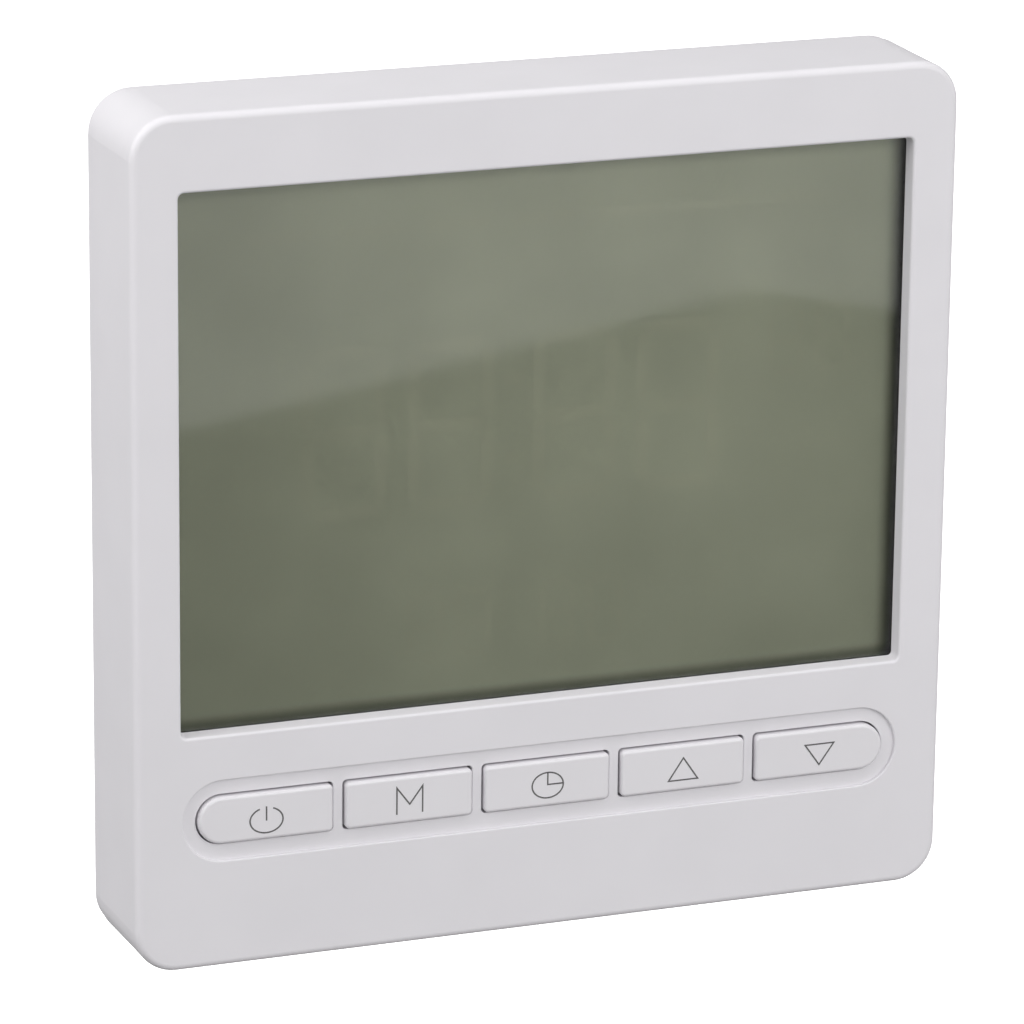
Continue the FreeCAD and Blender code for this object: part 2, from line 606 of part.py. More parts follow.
def power_parts():
    define(can_edge=0.4)
    component("relay", 19.0, 15.4, 15.2, -13.0, POWER_BOARD_REAR, 15.4, 0.5)
    component("film_capacitor", 13.0, 12.0, 6.0, 13.5, POWER_BOARD_REAR, -6.5, 0.5)
    component("rectifier", 5.0, 2.4, 4.0, 19.6, POWER_BOARD_REAR, 9.4, 0.2)
    for label, radius, height, x, z in (("bulk_capacitor", 4.9, 16.0, -10.0, -4.2),
                                        ("output_capacitor", 3.9, 11.5, 1.0, -4.8),
                                        ("fuse", 3.7, 8.0, 19.2, 17.5)):
        radius, height, x, z = cell(label, radius=radius, height=height, across=x, rise=z)
        can = rod(label + "_can", radius, height, x, POWER_BOARD_REAR, z)
        finished(label, softened(label, can, (1, 3), "can_edge"))
    define(varistor_radius=4.8, varistor_thickness=3.2, varistor_across=12.6, varistor_rise=0.4,
           varistor_foot=0.4)
    finished("varistor", rod("varistor", "varistor_radius", "varistor_thickness", "varistor_across",
                             f"{POWER_BOARD_REAR} + varistor_radius + varistor_foot",
                             "varistor_rise - varistor_thickness/2", (FreeCAD.Vector(0, 0, 1), 0)))
    define(core_length=16.0, core_depth=13.4, core_height=4.6, core_leg=4.0, core_window=3.6,
           core_window_depth=8.8, core_across=7.0, core_rise=15.0, winding_height=11.4, winding_gap=0.15)
    window_front = f"({POWER_BOARD_REAR} + (core_depth - core_window_depth)/2)"
    core = brick("core_block", "core_length", "core_depth", "core_height", "core_across", POWER_BOARD_REAR,
                 "core_rise")
    windows = [brick(f"core_window_{side}", "core_window", "core_window_depth", "2*core_height",
                     f"(core_across {sign} (core_leg + core_window)/2)", window_front, "core_rise")
               for side, sign in (("left", "-"), ("right", "+"))]
    finished("transformer_core", cut("transformer_core", core, *windows))
    coil = brick("coil_block", "core_leg + 2*core_window - 2*winding_gap",
                 "core_window_depth - 2*winding_gap", "winding_height", "core_across",
                 f"{window_front} + winding_gap", "core_rise")
    hole = brick("coil_hole", "core_leg + 2*winding_gap", "core_window_depth", "core_height + 2*winding_gap",
                 "core_across", window_front, "core_rise")
    finished("transformer_winding", cut("transformer_winding", coil, hole))


# ---------------------------------------------------------------- wire terminals

def terminals():
    """A row of rising-cage terminals: each screw turns in place and draws its cage towards its head."""
    define(terminal_pitch=7.8, terminal_width=40.0, terminal_height=10.8,
           terminal_depth=12.0, terminal_corner=0.3, chamber_width=5.8, chamber_floor=1.0,
           chamber_depth=8.2, chamber_height=9.8, shoulder_hole=1.5, shoulder=0.8, head_hole=2.0,
           screw_drop=20.4, seat_play=0.02, terminal_screw_head_radius=1.8, terminal_screw_head_height=1.5,
           terminal_screw_shank_radius=1.3, terminal_screw_shank_length=4.5, terminal_screw_slot=0.5,
           cage_width=5.0, cage_depth=5.4, cage_height=5.0, cage_start=1.6, cage_opening=3.4,
           cage_wire_room=3.0, cage_floor=1.0, cage_bore=1.35,
           contact_width=3.2, contact_thickness=0.8, contact_length=8.6, contact_start=4.5,
           contact_drop=20.1)
    body = new_body("terminal_body", "0", POWER_BOARD_REAR, "-bay_drop")
    pad(body, "terminal_width", "terminal_height", "terminal_corner", "0", "terminal_depth")
    head_start = f"({POWER_BOARD_REAR} + chamber_floor + chamber_depth + shoulder)"
    contacts = []
    for at in range(1, TERMINAL_WAYS + 1):
        x = f"({at} - {(TERMINAL_WAYS + 1) // 2})*terminal_pitch"
        pocket(body, "chamber_width", "terminal_height", "0", "chamber_floor", "chamber_depth", x=x,
               z="chamber_height - terminal_height")
        round_pocket(body, "shoulder_hole", "chamber_floor + chamber_depth", "shoulder", x,
                     "bay_drop - screw_drop")
        round_pocket(body, "head_hole", "chamber_floor + chamber_depth + shoulder",
                     "terminal_depth - chamber_floor - chamber_depth - shoulder", x, "bay_drop - screw_drop")
        finished(f"terminal_screw_{at}",
                 screw(f"terminal_screw_{at}", "terminal_screw", x, f"{head_start} + seat_play",
                       "-screw_drop", False))
        cage_front = f"({POWER_BOARD_REAR} + cage_start)"
        block = brick(f"cage_block_{at}", "cage_width", "cage_depth", "cage_height", x, cage_front,
                      "-screw_drop")
        way = brick(f"cage_way_{at}", "cage_opening", "cage_wire_room", "2*cage_height", x,
                    f"{cage_front} + cage_floor", "-screw_drop")
        bore = rod(f"cage_bore_{at}", "cage_bore", "cage_depth - cage_floor", x,
                   f"{cage_front} + cage_floor", "-screw_drop")
        finished(f"terminal_cage_{at}", cut(f"terminal_cage_{at}", block, way, bore))
        bar_front = f"({POWER_BOARD_REAR} + contact_start)"
        bar = brick(f"contact_bar_{at}", "contact_width", "contact_thickness", "contact_length", x, bar_front,
                    "-contact_drop")
        leg = brick(f"contact_leg_{at}", "contact_width", "contact_start - chamber_floor",
                    "contact_thickness", x, f"{POWER_BOARD_REAR} + chamber_floor",
                    "(contact_length - contact_thickness)/2 - contact_drop")
        contacts.append(fuse(f"contact_{at}", bar, leg))
    finished("terminal_contacts", group("terminal_contacts", contacts))


# ---------------------------------------------------------------- make, check and write every sub-part

front_cover()
keys()
display()
main_board()
connector()
rear_frame()
mounting_plate()
insulation_sheet()
rear_housing()
power_board()
power_parts()
terminals()
doc.recompute()

failed = [thing.Label for thing in doc.Objects if {"Invalid", "Error"} & set(thing.State)]
failed += [part.Label for part in subparts if part.Shape.isNull() or not part.Shape.isValid()]
if failed:
    raise RuntimeError("these objects did not come out right: " + ", ".join(failed))
os.makedirs("parts", exist_ok=True)
for part in subparts:
    part.Shape.exportStep(f"parts/{part.Label}.step")
    print(f"{part.Label}: {part.Shape.Volume:.1f} mm3, {len(part.Shape.Solids)} solid(s)")
print(len(subparts), "sub-parts")
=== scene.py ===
import json
import math
import bmesh
import bpy
from mathutils import Matrix, Vector


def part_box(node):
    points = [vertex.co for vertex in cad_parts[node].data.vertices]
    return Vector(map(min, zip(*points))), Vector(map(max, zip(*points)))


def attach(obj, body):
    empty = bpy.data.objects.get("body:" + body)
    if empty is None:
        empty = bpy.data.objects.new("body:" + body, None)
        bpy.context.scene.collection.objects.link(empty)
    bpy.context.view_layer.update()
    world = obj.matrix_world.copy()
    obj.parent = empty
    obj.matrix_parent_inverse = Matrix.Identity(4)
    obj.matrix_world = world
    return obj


# A wall-mounted programmable heating timer. Everything is in metres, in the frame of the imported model:
# the wall is the plane y = 0, +X is right as one faces the timer, +Y goes into the wall, +Z is up.

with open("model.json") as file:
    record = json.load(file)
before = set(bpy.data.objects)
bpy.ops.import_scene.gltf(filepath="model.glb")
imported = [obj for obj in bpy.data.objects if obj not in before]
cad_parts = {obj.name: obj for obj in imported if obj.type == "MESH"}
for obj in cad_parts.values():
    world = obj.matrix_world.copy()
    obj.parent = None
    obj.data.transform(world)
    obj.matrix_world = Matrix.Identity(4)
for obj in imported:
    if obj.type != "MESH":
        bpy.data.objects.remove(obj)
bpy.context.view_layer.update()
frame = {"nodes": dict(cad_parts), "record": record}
MM = 0.001


# ---------------------------------------------------------------- mesh code

def add_prism(mesh, outline, low, high, put):
    """A closed outline of (u, v) points, made solid from low to high along w. put gives a point's place."""
    rings = [[mesh.verts.new(put(u, v, w)) for u, v in outline] for w in (low, high)]
    mesh.faces.new(rings[0])
    mesh.faces.new(rings[1])
    for at in range(len(outline)):
        mesh.faces.new((rings[0][at], rings[0][at - 1], rings[1][at - 1], rings[1][at]))


def add_stroke(mesh, points, width, low, high, put, closed=False):
    """A line of even width along (u, v) points, mitred at its corners and solid from low to high along w."""
    points = [Vector(point) for point in points]
    last = len(points) - 1
    sections = []
    for at, point in enumerate(points):
        into = (point - points[at - 1]).normalized() if closed or at > 0 else None
        out = (points[(at + 1) % len(points)] - point).normalized() if closed or at < last else None
        along = ((into or out) + (out or into)).normalized()
        reach = width / 2 / along.dot(into or out)
        across = Vector((-along.y, along.x)) * reach
        corners = ((across, low), (-across, low), (-across, high), (across, high))
        sections.append([mesh.verts.new(put(*(point + aside), w)) for aside, w in corners])
    for at in range(0 if closed else 1, len(sections)):
        before, after = sections[at - 1], sections[at]
        for corner in range(4):
            mesh.faces.new((before[corner], before[corner - 1], after[corner - 1], after[corner]))
    if not closed:
        mesh.faces.new(sections[0])
        mesh.faces.new(sections[-1])


def add_turned(mesh, centre, profile, steps=20):
    """A turned form about a line along Y through centre. profile lists (radius, y) from pole to pole."""
    rings = []
    for radius, y in profile:
        if radius == 0:
            rings.append([mesh.verts.new((centre[0], y, centre[1]))])
        else:
            turns = [math.tau * step / steps for step in range(steps)]
            rings.append([mesh.verts.new((centre[0] + radius * math.cos(turn), y,
                                          centre[1] + radius * math.sin(turn))) for turn in turns])
    for first, second in zip(rings, rings[1:]):
        for step in range(steps):
            corners = [first[step - 1], first[step]] if len(first) > 1 else [first[0]]
            corners += [second[step], second[step - 1]] if len(second) > 1 else [second[0]]
            mesh.faces.new(corners)


def add_block(mesh, low, high):
    """A box between two corners."""
    outline = ((low[0], low[2]), (high[0], low[2]), (high[0], high[2]), (low[0], high[2]))
    add_prism(mesh, outline, low[1], high[1], lambda u, v, w: (u, w, v))


def arc(centre, across, upright, start, end, steps=24):
    """Points of an elliptic arc, from one angle in degrees to another."""
    turns = [math.radians(start + (end - start) * step / steps) for step in range(steps + 1)]
    return [(centre[0] + across * math.cos(turn), centre[1] + upright * math.sin(turn)) for turn in turns]


def piece(name, mesh, body, look, smooth=False):
    """Turn a mesh under construction into a finished piece that rides on a body."""
    bmesh.ops.recalc_face_normals(mesh, faces=mesh.faces)
    data = bpy.data.meshes.new(name)
    mesh.to_mesh(data)
    mesh.free()
    if smooth:
        data.shade_smooth()
    data.materials.append(look)
    made = bpy.data.objects.new(name, data)
    bpy.context.scene.collection.objects.link(made)
    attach(made, body)


# ---------------------------------------------------------------- materials

def feed(tree, socket, value):
    """Link a socket, or set a value."""
    if isinstance(value, bpy.types.NodeSocket):
        tree.links.new(value, socket)
    else:
        socket.default_value = value


def add_node(tree, kind, settings=(), **inputs):
    """A node. Inputs go by name, with underscores for spaces, or by number, as in i0."""
    made = tree.nodes.new(kind)
    for name, value in dict(settings).items():
        setattr(made, name, value)
    for name, value in inputs.items():
        numbered = name[0] == "i" and name[1:].isdigit()
        feed(tree, made.inputs[int(name[1:]) if numbered else name.replace("_", " ")], value)
    return made


def map_range(tree, value, low=0.0, high=1.0, start=0.0, end=1.0, smooth=False):
    """A value mapped from low..high to start..end and held at the ends."""
    kind = {"interpolation_type": "SMOOTHSTEP" if smooth else "LINEAR"}
    made = add_node(tree, "ShaderNodeMapRange", kind, i0=value, i1=low, i2=high, i3=start, i4=end)
    return made.outputs["Result"]


class Look:
    """A node material being put together. Patterns are in object space and their sizes are in millimetres."""

    def __init__(self, name):
        self.material = bpy.data.materials.new(name)
        self.material.use_nodes = True
        self.tree = self.material.node_tree
        self.tree.nodes.clear()
        self.output = self.add("ShaderNodeOutputMaterial")
        self.place = self.add("ShaderNodeTexCoord").outputs["Object"]

    def add(self, kind, settings=(), **inputs):
        return add_node(self.tree, kind, settings, **inputs)

    def stretched(self, across, deep, upright):
        """The object's coordinates in millimetres, divided by three lengths."""
        scale = (1 / (across * MM), 1 / (deep * MM), 1 / (upright * MM))
        return self.add("ShaderNodeMapping", Vector=self.place, Scale=scale).outputs["Vector"]

    def noise(self, size, detail=2.0, place=None):
        """A cloudy pattern from 0 to 1."""
        place = place or self.stretched(size, size, size)
        return self.add("ShaderNodeTexNoise", Vector=place, Scale=1.0, Detail=detail).outputs["Fac"]

    def bands(self, direction, size, profile="SIN"):
        """Even bands across one axis."""
        settings = {"bands_direction": direction, "wave_profile": profile}
        place = self.stretched(size, size, size)
        return self.add("ShaderNodeTexWave", settings, Vector=place, Scale=1.0).outputs["Fac"]

    def ramp(self, factor, *stops):
        """Colours at places from 0 to 1 along a factor."""
        made = self.add("ShaderNodeValToRGB", Fac=factor)
        elements = made.color_ramp.elements
        while len(elements) < len(stops):
            elements.new(1.0)
        for element, (place, colour) in zip(elements, stops):
            element.position = place
            element.color = (*colour, 1.0)
        return made.outputs["Color"]

    def tones(self, factor, colour, spread):
        """A colour that swings by a share of itself as the factor goes through the middle of its range."""
        darker = [channel * (1 - spread) for channel in colour]
        lighter = [channel * (1 + spread) for channel in colour]
        return self.ramp(factor, (0.3, darker), (0.7, lighter))

    def between(self, value, low, high, start=0.0, end=1.0, smooth=True):
        return map_range(self.tree, value, low, high, start, end, smooth)

    def product(self, first, second):
        return self.add("ShaderNodeMath", {"operation": "MULTIPLY"}, i0=first, i1=second).outputs["Value"]

    def bump(self, height, relief):
        """A normal from a height pattern, relief millimetres deep."""
        return self.add("ShaderNodeBump", Height=height, Distance=relief * MM, Strength=1.0).outputs["Normal"]

    def finish(self, **inputs):
        """The material, with one principled shader."""
        shader = self.add("ShaderNodeBsdfPrincipled", **inputs)
        return self.out(shader.outputs["BSDF"])

    def out(self, shader):
        """The material, with a finished shader."""
        self.tree.links.new(shader, self.output.inputs["Surface"])
        return self.material


def moulded(name, colour, rough, grain=0.3, relief=0.004, tone=0.012):
    """Moulded plastic: an even colour with faint flow marks and a fine sparked texture."""
    look = Look(name)
    texture = look.noise(grain, 3.0)
    return look.finish(
        Base_Color=look.tones(look.noise(9.0), colour, tone),
        Roughness=look.between(texture, 0.3, 0.7, rough - 0.05, rough + 0.05, False),
        Normal=look.bump(texture, relief))


def plated(name, colour, rough, streak=(0.2, 3.0, 3.0), tone=0.08):
    """Plated or drawn metal: streaks along two directions and a faintly uneven gloss."""
    look = Look(name)
    streaks = look.noise(1.0, 4.0, look.stretched(*streak))
    return look.finish(
        Base_Color=look.tones(streaks, colour, tone), Metallic=1.0,
        Roughness=look.between(streaks, 0.3, 0.7, rough - 0.08, rough + 0.08, False),
        Normal=look.bump(streaks, 0.0015))


def galvanised():
    """Zinc-dipped sheet with crystal spangle."""
    look = Look("galvanised_steel")
    crystals = look.add("ShaderNodeTexVoronoi", Vector=look.stretched(2.6, 2.6, 2.6), Scale=1.0)
    shade = look.add("ShaderNodeSeparateColor", Color=crystals.outputs["Color"]).outputs["Red"]
    return look.finish(
        Base_Color=look.ramp(shade, (0.0, (0.50, 0.52, 0.53)), (1.0, (0.64, 0.66, 0.67))), Metallic=1.0,
        Roughness=look.between(shade, 0.0, 1.0, 0.28, 0.46, False),
        Normal=look.bump(look.noise(0.5), 0.002))


def board():
    """Green solder mask over woven glass fibre."""
    look = Look("circuit_board")
    weave = look.product(look.bands("X", 6.0), look.bands("Z", 6.0))
    return look.finish(
        Base_Color=look.ramp(weave, (0.0, (0.012, 0.110, 0.045)), (1.0, (0.018, 0.145, 0.060))),
        Roughness=look.between(look.noise(2.0), 0.3, 0.7, 0.22, 0.34, False), Coat_Weight=0.5,
        Coat_Roughness=0.12, Normal=look.bump(weave, 0.004))


def wound_tape():
    """Yellow polyester tape wound round a coil, with its overlapping edges."""
    look = Look("winding_tape")
    turns = look.bands("Z", 16.0, "SAW")
    return look.finish(
        Base_Color=look.ramp(turns, (0.0, (0.55, 0.36, 0.04)), (0.15, (0.80, 0.60, 0.09)),
                             (1.0, (0.84, 0.65, 0.12))),
        Roughness=look.between(look.noise(1.0), 0.3, 0.7, 0.22, 0.36, False), Normal=look.bump(turns, 0.03))


def embossed_film():
    """Black insulating film with a fine embossed grid."""
    look = Look("black_film")
    cells = look.add("ShaderNodeTexVoronoi", {"distance": "CHEBYCHEV"}, Vector=look.stretched(0.9, 0.9, 0.9),
                     Scale=1.0, Randomness=0.0).outputs["Distance"]
    return look.finish(
        Base_Color=look.tones(look.noise(6.0), (0.030, 0.030, 0.034), 0.15),
        Roughness=look.between(cells, 0.0, 0.7, 0.42, 0.60, False), Normal=look.bump(cells, 0.02))


def header_plastic():
    """Black header base in front, gold-flashed pins behind it."""
    look = Look("header_plastic_and_pins")
    depth = look.add("ShaderNodeSeparateXYZ", Vector=look.place).outputs["Y"]
    base_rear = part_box("board_header")[0].y + HEADER_BASE
    pins = look.between(depth, base_rear, base_rear + 0.02 * MM)
    texture = look.noise(0.3)
    plastic = look.tones(texture, (0.025, 0.025, 0.027), 0.2)
    gold = look.tones(texture, (0.80, 0.58, 0.25), 0.05)
    colour = look.add("ShaderNodeMix", {"data_type": "RGBA"}, i0=pins, i6=plastic, i7=gold)
    return look.finish(Base_Color=colour.outputs[2], Metallic=pins,
                       Roughness=look.between(pins, 0.0, 1.0, 0.50, 0.25, False),
                       Normal=look.bump(texture, 0.003))


def see_through(name, colour, gloss_rough, ior):
    """A clear layer: what is behind it shows tinted, and its face mirrors the room by the angle of view."""
    look = Look(name)
    clear = look.add("ShaderNodeBsdfTransparent", Color=look.tones(look.noise(12.0), colour, 0.01))
    gloss = look.add("ShaderNodeBsdfGlossy", Roughness=gloss_rough)
    angle = look.add("ShaderNodeFresnel", IOR=ior)
    both = look.add("ShaderNodeMixShader", i0=angle.outputs["Fac"], i1=clear.outputs["BSDF"],
                    i2=gloss.outputs["BSDF"])
    return look.out(both.outputs["Shader"])


def crystal_layer_with_painted_shade(name, share):
    """The grey-green reflecting layer of the display, black outside its seal, with painted shade: darker
    towards the left, right and foot of the window, under the foot wall and just inside the seal.
    """
    look = Look(name)
    split = look.add("ShaderNodeSeparateXYZ", Vector=look.place)
    x, z = split.outputs["X"], split.outputs["Z"]
    # Painted shade: left, right, foot, shade and rim darken the layer where the window's walls shade it; only
    # seal is the black border.
    left = look.between(x, WINDOW_LEFT, WINDOW_LEFT + 34 * MM, 0.83, 1.0)
    right = look.between(x, WINDOW_RIGHT - 16 * MM, WINDOW_RIGHT - 1 * MM, 1.0, 0.92)
    foot = look.between(z, WINDOW_FOOT, WINDOW_FOOT + 16 * MM, 0.92, 1.0)
    shade = look.between(z, WINDOW_FOOT + 0.1 * MM, WINDOW_FOOT + 1.3 * MM, 0.55, 1.0)
    seal = look.between(x, SEAL_X - 0.12 * MM, SEAL_X, 1.0, 0.0)
    rim = look.between(x, SEAL_X - 2.6 * MM, SEAL_X, 1.0, 0.12)
    level = look.between(look.noise(14.0), 0.3, 0.7, share - 0.015, share, False)
    for factor in (left, right, foot, shade, seal, rim):
        level = look.product(level, factor)
    return look.finish(
        Base_Color=look.ramp(level, (0.0, (0.004, 0.004, 0.004)), (1.0, LAYER_COLOUR)),
        Roughness=0.8, Specular_IOR_Level=0.1, Normal=look.bump(look.noise(0.2), 0.001))


# ---------------------------------------------------------------- where things are

HEADER_BASE = 2.5 * MM
SEAL_X = 39.0 * MM
LAYER_COLOUR = (0.517, 0.516, 0.398)
DISPLAY_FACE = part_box("lcd_front_polariser")[0].y
LAYER_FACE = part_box("lcd_rear_glass")[0].y
BOARD_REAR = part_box("main_board")[1].y
HOUSING_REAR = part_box("rear_housing")[1].y
WINDOW_LEFT, WINDOW_RIGHT = -38.0 * MM, 38.0 * MM
WINDOW_FOOT = -18.8 * MM
SYMBOL_ROW = -27.68 * MM
LABEL_MIDDLE = 6.7 * MM


# ---------------------------------------------------------------- the CAD nodes get their finishes

# One look for each material slot of the record.
LOOKS = {
    "white_shell": moulded("white_shell", (0.808, 0.791, 0.822), 0.54, 0.35, 0.004),
    "key_plastic": moulded("key_plastic", (0.808, 0.791, 0.820), 0.48, 0.35, 0.003),
    "white_housing": moulded("white_housing", (0.74, 0.74, 0.74), 0.50, 0.5, 0.008),
    "black_plastic": moulded("black_plastic", (0.020, 0.020, 0.021), 0.50, 0.3, 0.006, 0.10),
    "terminal_plastic": moulded("terminal_plastic", (0.035, 0.23, 0.10), 0.42, 0.4, 0.006, 0.03),
    "polariser": see_through("polariser", (0.965, 0.975, 0.965), 0.02, 1.49),
    "display_glass": see_through("display_glass", (0.985, 0.995, 0.99), 0.02, 1.12),
    # The display layer carries painted shade round the window's edges.
    "transflector": crystal_layer_with_painted_shade("display_layer_painted_shade", 1.0),
    "clear_acrylic": see_through("clear_acrylic", (0.93, 0.95, 0.95), 0.02, 1.49),
    "white_film": moulded("white_film", (0.84, 0.84, 0.84), 0.35, 1.5, 0.004),
    "black_film": embossed_film(),
    "led_body": moulded("led_body", (0.80, 0.77, 0.50), 0.35, 0.5, 0.004, 0.04),
    "grey_rubber": moulded("grey_rubber", (0.16, 0.16, 0.17), 0.70, 0.2, 0.006, 0.08),
    "circuit_board": board(),
    "zinc_steel": plated("zinc_steel", (0.62, 0.63, 0.62), 0.30),
    "galvanised_steel": galvanised(),
    "bright_can": plated("bright_can", (0.70, 0.69, 0.66), 0.22, (3.0, 3.0, 0.15), 0.05),
    "black_epoxy": moulded("black_epoxy", (0.022, 0.022, 0.024), 0.55, 0.25, 0.008, 0.12),
    "blue_case": moulded("blue_case", (0.02, 0.10, 0.36), 0.35, 0.4, 0.004, 0.05),
    "yellow_case": moulded("yellow_case", (0.70, 0.46, 0.04), 0.35, 0.4, 0.005, 0.05),
    "brown_case": moulded("brown_case", (0.12, 0.05, 0.02), 0.32, 0.4, 0.005, 0.10),
    "can_sleeve": moulded("can_sleeve", (0.014, 0.014, 0.020), 0.26, 1.2, 0.010, 0.15),
    "ferrite": moulded("ferrite", (0.035, 0.035, 0.038), 0.60, 0.6, 0.015, 0.15),
    "winding_tape": wound_tape(),
    "tinned_copper": plated("tinned_copper", (0.72, 0.68, 0.62), 0.32, (0.5, 3.0, 0.5)),
}
for subpart in frame["record"]["subparts"]:
    frame["nodes"][subpart["node"]].material_slots[0].material = LOOKS[subpart["material_slot"]]
frame["nodes"]["lcd_rear_glass"].material_slots[0].material = LOOKS["transflector"]
frame["nodes"]["board_header"].material_slots[0].material = header_plastic()


# ---------------------------------------------------------------- printed key symbols

INK_WIDTH = 0.15 * MM
INK_PROUD = 0.015 * MM


def on_key(node, rise):
    """A map from a symbol's own coordinates to the front of its key."""
    low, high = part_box(node)
    middle = (low.x + high.x) / 2
    return lambda u, v, w: (middle + u, low.y + w, rise + v)


def power_symbol():
    """A broken ring and an upright stroke, as lines of (points, whether it is closed)."""
    ring = arc((0, 0), 1.70 * MM, 1.30 * MM, 114, 426, 40)
    stroke = [(0, 1.42 * MM), (0, -0.05 * MM)]
    return [(ring, False), (stroke, False)]


def mode_symbol():
    """A plain capital M."""
    side, top, dip = 1.35 * MM, 1.38 * MM, -0.42 * MM
    return [([(-side, -top), (-side, top), (0, dip), (side, top), (side, -top)], False)]


def clock_symbol():
    """A round face with its hands at three o'clock."""
    across, upright = 1.66 * MM, 1.33 * MM
    rim = arc((0, 0), across, upright, 0, 354, 59)
    hands = [(0, upright), (0, 0.06 * MM), (across, 0.06 * MM)]
    return [(rim, True), (hands, False)]


def triangle_symbol(half_width, half_height):
    """A triangle that points down where its height is negative."""
    return [([(-half_width, -half_height), (half_width, -half_height), (0, half_height)], True)]


SYMBOLS = {
    "power_key": (power_symbol(), -28.10 * MM),
    "mode_key": (mode_symbol(), -27.75 * MM),
    "clock_key": (clock_symbol(), -27.86 * MM),
    "up_key": (triangle_symbol(1.58 * MM, 1.16 * MM), -27.80 * MM),
    "down_key": (triangle_symbol(1.58 * MM, -1.10 * MM), -27.92 * MM),
}
ink = moulded("grey_ink", (0.115, 0.112, 0.112), 0.55, 0.15, 0.002, 0.06)
for node, (lines, rise) in SYMBOLS.items():
    mesh = bmesh.new()
    for points, closed in lines:
        add_stroke(mesh, points, INK_WIDTH, -INK_PROUD, INK_PROUD, on_key(node, rise), closed)
    piece(node.replace("key", "symbol"), mesh, node, ink)


# ---------------------------------------------------------------- unlit display segments

def segment(start, end, width):
    """The outline of one bar with pointed ends, a little clear of the two points that it joins."""
    along = (Vector(end) - Vector(start)).normalized()
    across = Vector((-along.y, along.x)) * width / 2
    start, end = Vector(start) + along * width * 0.15, Vector(end) - along * width * 0.15
    shoulder = along * width / 2
    return [start, start + shoulder + across, end - shoulder + across, end, end - shoulder - across,
            start + shoulder - across]


def digit(centre, width, height, bar):
    """The seven bars of one unlit digit."""
    left, right = centre[0] - width / 2, centre[0] + width / 2
    foot, middle, top = centre[1] - height / 2, centre[1], centre[1] + height / 2
    ends = [((left, z), (right, z)) for z in (foot, middle, top)]
    ends += [((x, z), (x, z + height / 2)) for x in (left, right) for z in (foot, middle)]
    return [segment(start, end, bar) for start, end in ends]


def unlit_segments():
    """Clock digits in the middle, small digits at the right and below, and a row of seven day bars."""
    outlines = []
    for x in (-20.5, -9.5, 3.5, 14.5):
        outlines += digit((x * MM, 9.5 * MM), 7.6 * MM, 16.0 * MM, 1.3 * MM)
    for z in (5.5, 13.5):
        outlines.append(arc((-3.0 * MM, z * MM), 0.75 * MM, 0.75 * MM, 0, 345, 23))
    for x in (26.0, 31.0):
        outlines += digit((x * MM, 15.0 * MM), 3.2 * MM, 6.4 * MM, 0.7 * MM)
    for x in (-12.0, -7.0, 2.0, 7.0):
        outlines += digit((x * MM, -11.0 * MM), 3.2 * MM, 6.4 * MM, 0.7 * MM)
    for at in range(7):
        middle = (-27.0 + 9.0 * at) * MM
        outlines.append([(middle + side * 3.2 * MM, 29.5 * MM + rise * 0.5 * MM)
                         for side, rise in ((-1, -1), (1, -1), (1, 1), (-1, 1))])
    return outlines


mesh = bmesh.new()
for outline in unlit_segments():
    add_prism(mesh, outline, -0.01 * MM, 0.01 * MM, lambda u, v, w: (u, LAYER_FACE + w, v))
# The unlit segments carry the same painted shade as the display layer, at a slightly lower level.
unlit_look = crystal_layer_with_painted_shade("unlit_segments", 0.985)
piece("display_segments", mesh, "face_unit", unlit_look)


# ---------------------------------------------------------------- what the main board carries on its rear

TRACK_GAP = 0.75 * MM
LEAD_PITCH, LEAD_END = 0.65 * MM, 1.0 * MM
OUTLINE = (0.16 * MM, -0.01 * MM, 0.045 * MM)
chip_low, chip_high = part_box("controller_chip")
chip_x, chip_z = (chip_low.x + chip_high.x) / 2, (chip_low.z + chip_high.z) / 2
plug_low, plug_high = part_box("board_header")
tin = plated("solder_tin", (0.74, 0.73, 0.70), 0.26, (0.8, 0.8, 0.8), 0.05)


def on_board(u, v, w):
    """A map for marks on the rear of the main board."""
    return (u, BOARD_REAR + w, v)


def gull_wing(mesh, edge, outward, along, height, reach, width):
    """One lead from the side of a chip: out, down to the board and along it."""
    def put(u, v, w):
        place = Vector(edge) + outward * u + along * w
        return (place.x, BOARD_REAR + v, place.y)
    path = [(-0.1 * MM, height), (0.35 * reach, height), (0.55 * reach, 0.08 * MM), (reach, 0.08 * MM)]
    add_stroke(mesh, path, 0.14 * MM, -width / 2, width / 2, put)


def chip_leads(mesh, node, sides, count, pitch, reach, width):
    """Rows of leads on the sides of a chip, each side given by its outward direction in x and z."""
    low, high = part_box(node)
    centre = Vector(((low.x + high.x) / 2, (low.z + high.z) / 2))
    half = Vector(((high.x - low.x) / 2, (high.z - low.z) / 2))
    for side in sides:
        outward = Vector(side)
        along = Vector((-outward.y, outward.x))
        for at in range(count):
            shift = (at - (count - 1) / 2) * pitch
            edge = centre + outward * half + along * shift
            gull_wing(mesh, edge, outward, along, (high.y - low.y) / 2, reach, width)


ENDS = ((-1, 0), (1, 0))
ALL_SIDES = ((-1, 0), (1, 0), (0, -1), (0, 1))
mesh = bmesh.new()
chip_leads(mesh, "controller_chip", ALL_SIDES, 16, LEAD_PITCH, 1.1 * MM, 0.3 * MM)
chip_leads(mesh, "memory_chip", ENDS, 4, 0.95 * MM, 1.0 * MM, 0.4 * MM)
chip_leads(mesh, "clock_crystal", ENDS, 1, 1.0 * MM, 0.7 * MM, 0.9 * MM)
piece("chip_leads", mesh, "face_unit", tin)


